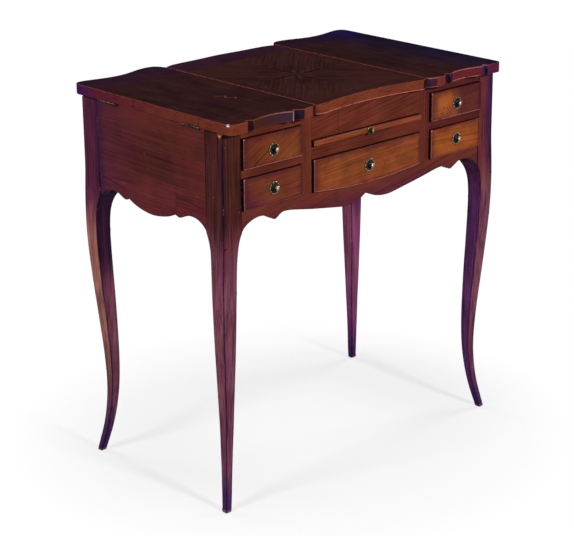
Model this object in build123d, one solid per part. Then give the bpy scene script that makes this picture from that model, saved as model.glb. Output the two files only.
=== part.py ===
from build123d import *
import math
import os

# Poudreuse (dressing table): four cabriole legs carry a shallow carcass with
# two wells under side lids, a mirror flap in the middle, a brushing slide and
# three drawers.  Millimetres, +Z up, -Y to the front, origin on the floor in
# the middle of the footprint.

# ---------------------------------------------------------------- dimensions
HEIGHT = 750.0            # floor to the surface of the top
TOP_T = 19.5              # thickness of lids and flap
Z_LID = HEIGHT - TOP_T    # underside of lids and flap
GAP = 0.3                 # lids stand this far off the carcass
Z_CAR = Z_LID - GAP       # top edge of the carcass
BX = 357.7                # half width of the carcass
BY = 202.0                # half depth of the carcass
POST_X = 315.0            # inner face of the posts, across
POST_Y = 155.0            # inner face of the posts, in depth
SIDE_T = 20.0             # end boards
BACK_T = 20.0             # back board
FRONT_T = 18.0            # facade boards
PROUD = 7.0               # drawer fronts stand proud of the facade
FRONT_Y = -(BY + PROUD)   # face of the drawer fronts
FRONT_TH = 19.0           # drawer front thickness
JOINT = 147.5             # joint between lid and flap
JG = 0.3                  # half of that joint
CLR = 0.8                 # gap round a drawer front
CX = 142.8                # half width of the centre drawer and slide
SX0, SX1 = 171.1, 314.2   # side fronts, inner and outer edge
Z_UP0, Z_UP1 = 658.2, 714.3     # dummy fronts
Z_LO0, Z_LO1 = 583.3, 640.6     # lower side drawers
Z_C1 = 642.5                    # top of the centre drawer
Z_BOW_END, Z_BOW_MID = 582.0, 573.3   # bowed lower edge of the centre drawer
Z_SL0, Z_SL1 = 667.7, 679.5     # brushing slide
APRON_TOP = 582.5
Z_BED = 583.0             # upper face of the carcass bottom
PART_T = 14.4             # partitions
SLIDE_BACK = 130.0
DRAWER_BACK = 160.0
HINGE_L = 51.0            # butt hinges
HINGE_SIDE_Y = 118.0      # their centres on the ends
HINGE_BACK_X = 95.0       # and on the back
HINGE_OUT_SIDE = 0.6      # pin centre outside the end board
HINGE_OUT_BACK = 2.2      # pin centre outside the back board
Z_PIN = Z_LID - GAP / 2
Y_SHIFT = -3.9            # carcass centre to the middle of the footprint

P0 = CX + CLR             # inner face of partitions and stiles
P1 = P0 + PART_T          # outer face of partitions
STILE1 = SX0 - CLR        # outer edge of the stiles
SIDE_IN = BX - SIDE_T     # inner face of the end boards
BACK_IN = BY - BACK_T
FR_IN = -(BY - FRONT_T)   # back of the facade boards


# ------------------------------------------------------------------- helpers
def block(x0, x1, y0, y1, z0, z1):
    return Pos((x0 + x1) / 2, (y0 + y1) / 2, (z0 + z1) / 2) * Box(
        abs(x1 - x0), abs(y1 - y0), abs(z1 - z0))


def path(segments, lift):
    """Closed wire from runs of points: a run of two is a line, of more a spline."""
    edges = []
    for run in segments:
        pts = [lift(*p) for p in run]
        edges.append(Line(pts[0], pts[1]) if len(pts) == 2 else Spline(*pts))
    return Face(Wire(edges))


def prism(segments, axis, a0, a1):
    """Prism of a closed outline; its outline lies across the named axis."""
    if axis == "y":
        f = path(segments, lambda x, z: (x, a0, z))
        d = Vector(0, a1 - a0, 0)
    elif axis == "x":
        f = path(segments, lambda y, z: (a0, y, z))
        d = Vector(a1 - a0, 0, 0)
    else:
        f = path(segments, lambda x, y: (x, y, a0))
        d = Vector(0, 0, a1 - a0)
    return Solid.extrude(f, d)


def one(shape):
    """The single solid of a shape."""
    s = shape.solids()
    if len(s) != 1:
        raise ValueError("expected one solid, got %d" % len(s))
    return s[0]


def mx(shape):
    """Mirror across the middle plane, left to right."""
    return shape.mirror(Plane.YZ)


def my(shape):
    return shape.mirror(Plane.XZ)


def cyl_y(x, z, r, y0, y1):
    return Pos(x, (y0 + y1) / 2, z) * Rot(90, 0, 0) * Cylinder(r, abs(y1 - y0))


nodes = {}

# ---------------------------------------------------------------------- legs
# Two templates, one seen from the front and one from the end.  Each gives the
# outer line (inset from the carcass face) and the width at a height.
LEG_Z = [0, 15, 30, 50, 70, 90, 110, 135, 160, 190, 220, 255, 290, 325, 360,
         395, 430, 465]
OX = [-4.2, -1.2, 2.0, 5.7, 8.6, 10.8, 12.3, 13.4, 13.8, 13.0, 11.4, 9.1,
      6.7, 3.9, 1.3, -0.8, -2.5, -3.5]
OY = [4.0, 6.6, 9.4, 13.2, 16.3, 18.4, 19.8, 20.8, 20.4, 19.1, 17.5, 14.9,
      11.8, 9.2, 6.6, 4.0, 1.6, 0.0]
WX = [13.2, 13.6, 13.9, 14.4, 15.2, 16.0, 16.9, 18.3, 19.3, 20.6, 22.6, 24.6,
      26.5, 28.8, 30.7, 31.8, 32.6, 33.4]
WY = [12.6, 13.6, 14.4, 15.0, 15.4, 16.2, 17.1, 18.0, 19.6, 21.8, 23.2, 25.2,
      27.5, 28.9, 29.9, 31.5, 32.8, 33.8]

outer_x = [(BX - o, z) for o, z in zip(OX, LEG_Z)] + [
    (BX + 3.3, 500), (BX + 2.0, 541), (BX + 0.6, 580), (BX, 604)]
inner_x = [(BX - o - w, z) for o, w, z in zip(OX, WX, LEG_Z)] + [
    (327.0, 490), (325.2, 507), (321.6, 526), (POST_X, 541.5)]
outer_y = [(BY - o, z) for o, z in zip(OY, LEG_Z)] + [
    (BY + 1.1, 500), (BY + 1.5, 541), (BY + 0.6, 580), (BY, 604)]
inner_y = [(BY - o - w, z) for o, w, z in zip(OY, WY, LEG_Z)] + [
    (167.9, 490), (166.8, 507), (163.2, 523), (POST_Y, 541.5)]

leg_front_view = prism([
    outer_x, [(BX, 604), (BX, Z_CAR)], [(BX, Z_CAR), (POST_X, Z_CAR)],
    [(POST_X, Z_CAR), (POST_X, 541.5)], inner_x[::-1],
    [inner_x[0], outer_x[0]]], "y", 130, 230)
leg_end_view = prism([
    outer_y, [(BY, 604), (BY, Z_CAR)], [(BY, Z_CAR), (POST_Y, Z_CAR)],
    [(POST_Y, Z_CAR), (POST_Y, 541.5)], inner_y[::-1],
    [inner_y[0], outer_y[0]]], "x", 290, 390)
leg = one(leg_front_view & leg_end_view)
sole = leg.faces().sort_by(Axis.Z)[0]
leg = chamfer(sole.edges(), 1.7)
leg = one(leg)
nodes["leg_back_right"] = leg
nodes["leg_back_left"] = mx(leg)
nodes["leg_front_right"] = my(leg)
nodes["leg_front_left"] = mx(my(leg))

# ---------------------------------------------------- shaped lower edges
side_edge = [
    [(POST_Y, 541.5), (145.5, 551.4), (131, 559), (115, 561.5), (98, 558.8),
     (88, 554.3), (79, 551.5)],
    [(79, 551.5), (72.5, 552.9), (67, 555.5)],
    [(67, 555.5), (56, 549.8), (37, 544), (16, 540.3), (0, 539.2),
     (-16, 540.3), (-37, 544), (-56, 549.8), (-67, 555.5)],
    [(-67, 555.5), (-72.5, 552.9), (-79, 551.5)],
    [(-79, 551.5), (-88, 554.3), (-98, 558.8), (-115, 561.5), (-131, 559),
     (-145.5, 551.4), (-POST_Y, 541.5)]]
front_half = [
    [(POST_X, 541.5), (304, 553), (288, 560.3), (270, 563), (258, 560.8),
     (247, 555), (235, 549.5)],
    [(235, 549.5), (229, 552.2), (222, 556.6), (214, 559.6)],
    [(214, 559.6), (203, 559.2), (170, 553.7), (130, 546.4), (105, 542.4),
     (78, 538), (57, 535.6), (37, 537), (13, 543.8)],
    [(13, 543.8), (7.5, 547.2), (0, 551)]]
back_half = [
    [(POST_X, 541.5), (304, 553), (288, 560.3), (270, 563), (258, 560.8),
     (247, 555), (235, 549.5)],
    [(235, 549.5), (200, 553), (120, 558), (0, 560)]]


def both(half):
    """A half outline from the right post to the middle, and its mirror image."""
    left = [[(-x, z) for x, z in run[::-1]] for run in half[::-1]]
    return half + left


# Side board: everything above the shaped edge, less the two bracket blocks.
full_side = prism(
    [[(-POST_Y, Z_CAR), (POST_Y, Z_CAR)], [(POST_Y, Z_CAR), (POST_Y, 541.5)]]
    + side_edge + [[(-POST_Y, 541.5), (-POST_Y, Z_CAR)]],
    "x", SIDE_IN, BX)
front_wedge = prism([
    [(-170, 580.5), (-70, 597)], [(-70, 597), (-70, 500)],
    [(-70, 500), (-170, 500)], [(-170, 500), (-170, 580.5)]], "x", 300, 400)
back_wedge = prism([
    [(170, 588.5), (70, 567.6)], [(70, 567.6), (70, 500)],
    [(70, 500), (170, 500)], [(170, 500), (170, 588.5)]], "x", 300, 400)
br_f = one(full_side & front_wedge)
br_b = one(full_side & back_wedge)
side_right = one(full_side - front_wedge - back_wedge)
nodes["side_brackets"] = [br_f, br_b, mx(br_f), mx(br_b)]

back_panel = prism(
    [[(-POST_X, Z_CAR), (POST_X, Z_CAR)], [(POST_X, Z_CAR), (POST_X, 541.5)]]
    + both(back_half) + [[(-POST_X, 541.5), (-POST_X, Z_CAR)]],
    "y", BACK_IN, BY)

apron = prism(
    [[(-POST_X, APRON_TOP), (-P0, APRON_TOP)],
     [(-P0, APRON_TOP), (-P0, Z_BOW_END - CLR)],
     [(-P0, Z_BOW_END - CLR), (-P0 / 2, Z_BOW_MID - CLR + 2.2),
      (0, Z_BOW_MID - CLR), (P0 / 2, Z_BOW_MID - CLR + 2.2),
      (P0, Z_BOW_END - CLR)],
     [(P0, Z_BOW_END - CLR), (P0, APRON_TOP)],
     [(P0, APRON_TOP), (POST_X, APRON_TOP)],
     [(POST_X, APRON_TOP), (POST_X, 541.5)]]
    + both(front_half) + [[(-POST_X, 541.5), (-POST_X, APRON_TOP)]],
    "y", -BY, FR_IN)
nodes["front_apron"] = apron

# ------------------------------------------------------------------- facade
stile = block(P0, STILE1, -BY, FR_IN, APRON_TOP, Z_CAR)
nodes["divider_stile_right"] = stile
nodes["divider_stile_left"] = mx(stile)
nodes["frieze_board"] = block(-P0, P0, -BY, FR_IN, Z_SL1 + CLR, Z_CAR)
nodes["centre_rail"] = block(-P0, P0, -BY, FR_IN, Z_C1 + CLR, Z_SL0 - CLR)

# Facade board over each lower side drawer, sunk 3 mm where the dummy front
# is planted, so that a fine gap runs round the dummy as round a real drawer.
well_front = block(STILE1, POST_X, -BY, FR_IN, Z_LO1 + CLR, Z_CAR)
well_front -= block(SX0 - CLR, SX1 + CLR, -BY - 1, -BY + 3,
                    Z_UP0 - CLR, Z_UP1 + CLR)
false_front = block(SX0, SX1, FRONT_Y, -BY + 3, Z_UP0, Z_UP1)

# ------------------------------------------------------------ inner boards
POSTS = (block(POST_X, 400, POST_Y, 300, 0, 800)
         + block(POST_X, 400, -300, -POST_Y, 0, 800))
partition = block(P0, P1, FR_IN, BACK_IN, Z_BED, Z_CAR)
nodes["partition_right"] = partition
nodes["partition_left"] = mx(partition)
well_floor = one(block(P1, SIDE_IN, FR_IN, BACK_IN, Z_LO1 + CLR,
                       Z_LO1 + CLR + 8) - POSTS)
nodes["well_floor_right"] = well_floor
nodes["well_floor_left"] = mx(well_floor)
nodes["centre_floor"] = block(-P0, P0, FR_IN, BACK_IN, Z_SL1 + CLR,
                              Z_SL1 + CLR + 7)
nodes["carcass_bottom"] = one(
    block(-SIDE_IN, SIDE_IN, FR_IN, BACK_IN, Z_BED - 8, Z_BED)
    - POSTS - mx(POSTS))
g_in = block(P1, SX0 - 0.5, FR_IN, BACK_IN, Z_BED, Z_BED + 12)
g_out = block(SX1 + 0.5, SIDE_IN, -POST_Y, POST_Y, Z_BED, Z_BED + 12)
bearer = block(130, P0, FR_IN, BACK_IN, Z_C1 + CLR, Z_SL0 - 0.3)
nodes["guides_and_bearers"] = [g_in, g_out, mx(g_in), mx(g_out),
                              bearer, mx(bearer)]


# ------------------------------------------------------------ brass pulls
def lathe_y(profile):
    """Turn (radius, distance out) about the Y axis, out towards -Y."""
    pts = [(r, 0, d) for r, d in profile]
    f = Face(Wire([Line(a, b) for a, b in zip(pts, pts[1:] + pts[:1])]))
    s = revolve(f, Axis.Z, 360)
    return Rot(90, 0, 0) * s


def arc_pts(cx, cy, r, a0, a1, n):
    return [(cx + r * math.cos(math.radians(a0 + (a1 - a0) * i / n)),
             cy + r * math.sin(math.radians(a0 + (a1 - a0) * i / n)))
            for i in range(n + 1)]


KNOB_OUT = 11.0             # end of a knob, out from its drawer front
KNOB_R = 5.0
SHANK = 12.0


def rosette_solid(shank_r):
    """Dished back plate inside a ring of beads."""
    prof = [(0, 0), (11.9, 0), (11.9, 0.7), (10.0, 0.8), (9.7, 1.3),
            (9.1, 1.5), (8.5, 1.2), (6.6, 0.7), (4.2, 0.6), (3.6, 1.3),
            (0, 1.3)]
    pts = [(r, 0, d) for r, d in prof]
    f = Face(Wire([Line(a, b) for a, b in zip(pts, pts[1:] + pts[:1])]))
    plate = revolve(f, Axis.Z, 360)
    n = 22
    for i in range(n):
        a = 2 * math.pi * i / n
        plate += Pos(11.0 * math.cos(a), 11.0 * math.sin(a), 0.75) * Sphere(
            1.35)
    plate = plate & Cylinder(20, 10, align=(
        Align.CENTER, Align.CENTER, Align.MIN))
    plate -= Cylinder(shank_r, 10)
    return one(Rot(90, 0, 0) * one(plate))


# The shank passes through the rosette; the collar of the knob seats on it.
knob = one(lathe_y(
    [(0, -SHANK), (2.0, -SHANK), (2.0, 1.3), (3.4, 1.3), (3.4, 1.65)]
    + arc_pts(0, KNOB_OUT - KNOB_R, KNOB_R,
              -math.degrees(math.acos(2.6 / KNOB_R)), 90, 14)[:-1]
    + [(0, KNOB_OUT)]))
rosette = rosette_solid(2.0)
small_knob = one(lathe_y(
    [(0, -SHANK), (1.6, -SHANK), (1.6, 0.0), (6.4, 0.0), (6.6, 0.4),
     (6.2, 1.0), (3.0, 1.3)]
    + arc_pts(0, 11.8 - 5.2, 5.2,
              -math.degrees(math.acos(2.6 / 5.2)), 90, 14)[:-1]
    + [(0, 11.8)]))


def bore_for(x, z, r):
    return cyl_y(x, z, r, FRONT_Y - 1, FRONT_Y + SHANK)


ZK_UP = 683.6
ZK_LO = (Z_LO0 + Z_LO1) / 2
XK = (SX0 + SX1) / 2
ZK_C = 606.3
ZK_S = (Z_SL0 + Z_SL1) / 2

false_front = one(false_front - bore_for(XK, ZK_UP, 2.0))
well_front = one(well_front - bore_for(XK, ZK_UP, 2.0))
nodes["false_front_right"] = false_front
nodes["false_front_left"] = mx(false_front)
nodes["well_front_right"] = well_front
nodes["well_front_left"] = mx(well_front)
nodes["false_front_knobs"] = [
    Pos(XK, FRONT_Y, ZK_UP) * knob, Pos(-XK, FRONT_Y, ZK_UP) * knob]
nodes["false_front_rosettes"] = [
    Pos(XK, FRONT_Y, ZK_UP) * rosette, Pos(-XK, FRONT_Y, ZK_UP) * rosette]


# ------------------------------------------------------------------ drawers
def drawer(name, x0, x1, z0, z1, front, kx, kz):
    """A drawer box: lapped dovetails at the front, bottom held in grooves."""
    t = 9.0
    zb = z0                        # underside of the sides
    zt = z1 - 2.5                  # top of the sides
    yb = FRONT_Y + FRONT_TH        # back of the front board
    lap = 12.0
    tails = []
    n = 3
    pitch = (zt - zb) / n
    for i in range(n):
        zc = zb + pitch * (i + 0.5)
        for xa, xb in ((x0, x0 + t), (x1 - t, x1)):
            tails.append(prism([
                [(yb + 0.0, zc - 4.6), (yb - lap, zc - 6.2)],
                [(yb - lap, zc - 6.2), (yb - lap, zc + 6.2)],
                [(yb - lap, zc + 6.2), (yb + 0.0, zc + 4.6)],
                [(yb + 0.0, zc + 4.6), (yb + 0.0, zc - 4.6)]], "x", xa, xb))
    sides = []
    bottom = block(x0 + t - 4, x1 - t + 4, yb - 5, DRAWER_BACK,
                   zb + 3.0, zb + 8.0)
    for k, (xa, xb) in enumerate(((x0, x0 + t), (x1 - t, x1))):
        s = block(xa, xb, yb, DRAWER_BACK, zb, zt)
        for i in range(n):
            s = s + tails[2 * i + k]
        s = s - bottom
        sides.append(one(s))
    f = front
    for s in tails:
        f = f - s
    f = f - bottom - bore_for(kx, kz, 2.0)
    back = block(x0 + t, x1 - t, DRAWER_BACK - 12, DRAWER_BACK - 3,
                 zb + 8.0, zt - 2.0)
    nodes[name + "_front"] = one(f)
    nodes[name + "_sides"] = sides
    nodes[name + "_back"] = back
    nodes[name + "_bottom"] = bottom
    nodes[name + "_knob"] = Pos(kx, FRONT_Y, kz) * knob
    nodes[name + "_rosette"] = Pos(kx, FRONT_Y, kz) * rosette


yb = FRONT_Y + FRONT_TH
drawer("drawer_right", SX0, SX1, Z_LO0, Z_LO1,
       block(SX0, SX1, FRONT_Y, yb, Z_LO0, Z_LO1), XK, ZK_LO)
drawer("drawer_left", -SX1, -SX0, Z_LO0, Z_LO1,
       block(-SX1, -SX0, FRONT_Y, yb, Z_LO0, Z_LO1), -XK, ZK_LO)
centre_front = prism(
    [[(-CX, Z_C1), (CX, Z_C1)], [(CX, Z_C1), (CX, Z_BOW_END)],
     [(CX, Z_BOW_END), (CX / 2, Z_BOW_MID + 2.2), (0, Z_BOW_MID),
      (-CX / 2, Z_BOW_MID + 2.2), (-CX, Z_BOW_END)],
     [(-CX, Z_BOW_END), (-CX, Z_C1)]], "y", FRONT_Y, yb)
drawer("drawer_centre", -CX, CX, Z_LO0, Z_C1, centre_front, 0.0, ZK_C)

# ------------------------------------------------------------ brushing slide
slide = block(-CX, CX, FRONT_Y, SLIDE_BACK, Z_SL0, Z_SL1)
slide = fillet(slide.edges().filter_by(Axis.X).sort_by(Axis.Y)[:2], 3.0)
slide = one(slide - bore_for(0, ZK_S, 1.6))
nodes["brushing_slide"] = slide
nodes["slide_knob"] = Pos(0, FRONT_Y, ZK_S) * small_knob

# ------------------------------------------------------- top: lids and flap
lid_right = prism([
    [(JOINT + JG, 208.0), (JOINT + JG, -212.3)],
    [(JOINT + JG, -212.3), (150.6, -216.8), (153.8, -219.8), (158, -222)],
    [(158, -222), (173, -224.7), (186, -226), (191.6, -223.8),
     (196, -219), (198.2, -215)],
    [(198.2, -215), (201.5, -215.8), (204.6, -219), (206, -224)],
    [(206, -224), (218, -217.8), (232, -213.9), (250, -212.2),
     (267, -213.6), (284, -217.2), (301, -222)],
    [(301, -222), (304, -218.2), (309, -215.6), (315.6, -215)],
    [(315.6, -215), (316, -224)],
    [(316, -224), (346, -223.6)],
    [(346, -223.6), (352.4, -221.2), (356.4, -215.2), (BX, -207)],
    [(BX, -207), (BX, 207)],
    [(BX, 207), (356.6, 217), (352.5, 224.4), (345, 228.6), (332, 228.8),
     (318, 226), (290, 219.6), (262, 217.2), (237, 220), (210, 228),
     (186, 233.4), (168, 233), (157, 227.6), (151, 217.6),
     (JOINT + JG, 208.0)]], "z", Z_LID, HEIGHT)
flap = prism([
    [(-(JOINT - JG), 208.0), (-(JOINT - JG), -212.3)],
    [(-(JOINT - JG), -212.3), (-144.6, -217), (-139, -220.4),
     (-130, -221.6), (-108, -218), (-75, -212.6), (-30, -208.2),
     (0, -207.6), (30, -208.2), (75, -212.6), (108, -218), (130, -221.6),
     (139, -220.4), (144.6, -217), (JOINT - JG, -212.3)],
    [(JOINT - JG, -212.3), (JOINT - JG, 208.0)],
    [(JOINT - JG, 208.0), (140, 211.6), (128, 215.6), (110, 217.8),
     (50, 219.4), (0, 222.2), (-50, 219.4), (-110, 217.8), (-128, 215.6),
     (-140, 211.6), (-(JOINT - JG), 208.0)]], "z", Z_LID, HEIGHT)
lid_left = mx(lid_right)

# Mirror on the underside of the flap, in a rebated beading.
glass = block(-118, 118, -160, 160, Z_LID - 3.5, Z_LID)
beading = (block(-126, 126, -168, 168, Z_LID - 7, Z_LID)
           - block(-114, 114, -156, 156, Z_LID - 8, Z_LID + 1) - glass)
nodes["mirror_glass"] = glass
nodes["mirror_beading"] = one(beading)


# ------------------------------------------------------------------- hinges
LEAF_T = 1.5
LEAF_W = 14.0
KN_R = 2.1
KN_GAP = 0.3
PIN_R = 0.9
RUN = 0.05                # running clearance of the moving knuckles
GROOVE_R = 2.5


def screw(x, y, down):
    """Countersunk wood screw, head flush with the face of its leaf."""
    p = [(0, 0), (2.9, 0), (1.3, 1.45), (1.3, 9.5), (0, 12.0)]
    pts = [(r, 0, -d) for r, d in p]
    f = Face(Wire([Line(a, b) for a, b in zip(pts, pts[1:] + pts[:1])]))
    s = revolve(f, Axis.Z, 360)
    s = s - Pos(0, 0, 0) * Box(4.2, 0.6, 0.8)
    if down:
        return Pos(x, y, -GAP / 2) * s
    return Pos(x, y, GAP / 2) * (Rot(180, 0, 0) * s)


def screw_hole(x, y, down):
    p = [(0, 0), (2.9, 0), (1.3, 1.45), (1.3, 9.5), (0, 12.0)]
    pts = [(r, 0, -d) for r, d in p]
    f = Face(Wire([Line(a, b) for a, b in zip(pts, pts[1:] + pts[:1])]))
    s = revolve(f, Axis.Z, 360)
    if down:
        return Pos(x, y, -GAP / 2) * s
    return Pos(x, y, GAP / 2) * (Rot(180, 0, 0) * s)


def hinge(out):
    """Butt hinge about the local X axis, carcass face at y = -out."""
    g = GAP / 2
    seg = (HINGE_L - 4 * KN_GAP) / 5
    res = {}
    for which, ids, bore, sgn in (("fixed", (0, 2, 4), PIN_R, -1),
                                  ("moving", (1, 3), PIN_R + RUN, 1)):
        za, zb_ = sorted((sgn * g, sgn * (g + LEAF_T)))
        leaf = block(-HINGE_L / 2, HINGE_L / 2, -(out + LEAF_W),
                     -(KN_R + 0.3), za, zb_)
        for i in ids:
            xa = -HINGE_L / 2 + i * (seg + KN_GAP)
            leaf += block(xa, xa + seg, -(KN_R + 0.4), 0, za, zb_)
            leaf += (Pos(xa + seg / 2, 0, 0) * Rot(0, 90, 0)
                     * Cylinder(KN_R, seg))
        leaf -= Rot(0, 90, 0) * Cylinder(bore, HINGE_L + 2)
        sc, hl = [], []
        for sx in (-17, 0, 17):
            sc.append(screw(sx, -(out + 8.5), sgn < 0))
            hl.append(screw_hole(sx, -(out + 8.5), sgn < 0))
        for h in hl:
            leaf -= h
        pocket = block(-HINGE_L / 2, HINGE_L / 2, -(out + LEAF_W), 0,
                       min(0, zb_ if sgn > 0 else za),
                       max(0, zb_ if sgn > 0 else za))
        pocket += Rot(0, 90, 0) * Cylinder(GROOVE_R, HINGE_L + 0.6)
        for h in hl:
            pocket += h
        res[which] = (one(leaf), [one(s) for s in sc], pocket)
    pin = Rot(0, 90, 0) * Cylinder(PIN_R, HINGE_L - 0.4)
    res["pin"] = one(pin)
    return res


h_side = hinge(HINGE_OUT_SIDE)
h_back = hinge(HINGE_OUT_BACK)
at_left = [Pos(-(BX + HINGE_OUT_SIDE), s * HINGE_SIDE_Y, Z_PIN)
           * Rot(0, 0, 90) for s in (-1, 1)]
at_right = [Pos(BX + HINGE_OUT_SIDE, s * HINGE_SIDE_Y, Z_PIN)
            * Rot(0, 0, -90) for s in (-1, 1)]
at_back = [Pos(s * HINGE_BACK_X, BY + HINGE_OUT_BACK, Z_PIN)
           for s in (-1, 1)]

side_left = mx(side_right)
fixed_leaves, fixed_screws, pins = [], [], []
groups = {"lid_left": [], "lid_right": [], "flap": []}
screws = {"lid_left": [], "lid_right": [], "flap": []}
wood = {"lid_left": lid_left, "lid_right": lid_right, "flap": flap}
carc = {"lid_left": side_left, "lid_right": side_right, "flap": back_panel}
for key, places, h in (("lid_left", at_left, h_side),
                       ("lid_right", at_right, h_side),
                       ("flap", at_back, h_back)):
    for loc in places:
        leaf, sc, pocket = h["fixed"]
        fixed_leaves.append(loc * leaf)
        fixed_screws += [loc * s for s in sc]
        carc[key] = carc[key] - loc * pocket
        leaf, sc, pocket = h["moving"]
        groups[key].append(loc * leaf)
        screws[key] += [loc * s for s in sc]
        wood[key] = wood[key] - loc * pocket
        pins.append(loc * h["pin"])
nodes["side_panel_left"] = one(carc["lid_left"])
nodes["side_panel_right"] = one(carc["lid_right"])
nodes["back_panel"] = one(carc["flap"])
nodes["lid_left"] = one(wood["lid_left"])
nodes["lid_right"] = one(wood["lid_right"])
nodes["centre_flap"] = one(wood["flap"])
nodes["carcass_hinge_leaves"] = fixed_leaves
nodes["carcass_hinge_screws"] = fixed_screws
nodes["hinge_pins"] = pins
for key in groups:
    nodes[key + "_hinge_leaves"] = groups[key]
    nodes[key + "_hinge_screws"] = screws[key]

# -------------------------------------------------------------------- export
os.makedirs("parts", exist_ok=True)
shift = Pos(0, Y_SHIFT, 0)
for name, shape in nodes.items():
    pieces = shape if isinstance(shape, list) else [shape]
    placed = [(shift * p).solids()[0] for p in pieces]
    whole = placed[0] if len(placed) == 1 else Compound(placed)
    export_step(whole, "parts/" + name + ".step")
print(len(nodes), "nodes")
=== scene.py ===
import math
import random

import bmesh
import bpy
from mathutils import Matrix, Vector


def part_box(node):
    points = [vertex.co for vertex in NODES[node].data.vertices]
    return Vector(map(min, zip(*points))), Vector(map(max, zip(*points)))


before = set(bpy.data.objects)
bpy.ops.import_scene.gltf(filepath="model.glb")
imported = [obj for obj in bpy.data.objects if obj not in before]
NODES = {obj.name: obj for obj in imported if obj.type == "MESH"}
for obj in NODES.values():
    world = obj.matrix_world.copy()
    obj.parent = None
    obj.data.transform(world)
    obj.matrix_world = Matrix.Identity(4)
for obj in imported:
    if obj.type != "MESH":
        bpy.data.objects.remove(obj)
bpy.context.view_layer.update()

YS = -0.0039                      # carcass centre in the row frame
FACE = -0.2090 + YS               # plane of the drawer fronts
FACADE = -0.2020 + YS             # plane of the carcass front
ZTOP = 0.750
scene = bpy.context.scene
scene.view_settings.view_transform = "Standard"
scene.view_settings.look = "None"
scene.view_settings.exposure = 0.0
scene.view_settings.gamma = 1.0
scene.cycles.max_bounces = 8
scene.cycles.diffuse_bounces = 4
scene.cycles.use_denoising = True


def lin(r, g, b):
    """sRGB 0..255 to linear colour."""
    def f(c):
        c /= 255.0
        return c / 12.92 if c <= 0.04045 else ((c + 0.055) / 1.055) ** 2.4
    return (f(r), f(g), f(b))


def times(c, k):
    if isinstance(k, (int, float)):
        k = (k, k, k)
    return tuple(a * b for a, b in zip(c, k))


# ------------------------------------------------------------------ camera
def make_camera():
    yaw, pitch, roll = (math.radians(a) for a in (-43.1039, -18.6996, -0.3787))
    fwd = Vector((-math.sin(yaw) * math.cos(pitch),
                  math.cos(yaw) * math.cos(pitch), math.sin(pitch)))
    right = fwd.cross(Vector((0, 0, 1))).normalized()
    up = right.cross(fwd)
    c, s = math.cos(roll), math.sin(roll)
    r2 = right * c + up * s
    u2 = up * c - right * s
    m = Matrix((r2, u2, -fwd)).transposed().to_4x4()
    m.translation = Vector((-2.301825, -2.4714 + YS, 1.5267))
    cam = bpy.data.cameras.new("camera")
    cam.sensor_fit = "HORIZONTAL"
    cam.sensor_width = 36.0
    cam.lens = 1780.1856 / 574.0 * 36.0
    cam.shift_x = (287.0 - 298.3779) / 574.0
    cam.shift_y = (251.3785 - 268.0) / 574.0
    cam.clip_start, cam.clip_end = 0.05, 100.0
    ob = bpy.data.objects.new("camera", cam)
    ob.matrix_world = m
    scene.collection.objects.link(ob)
    scene.camera = ob


make_camera()


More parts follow.
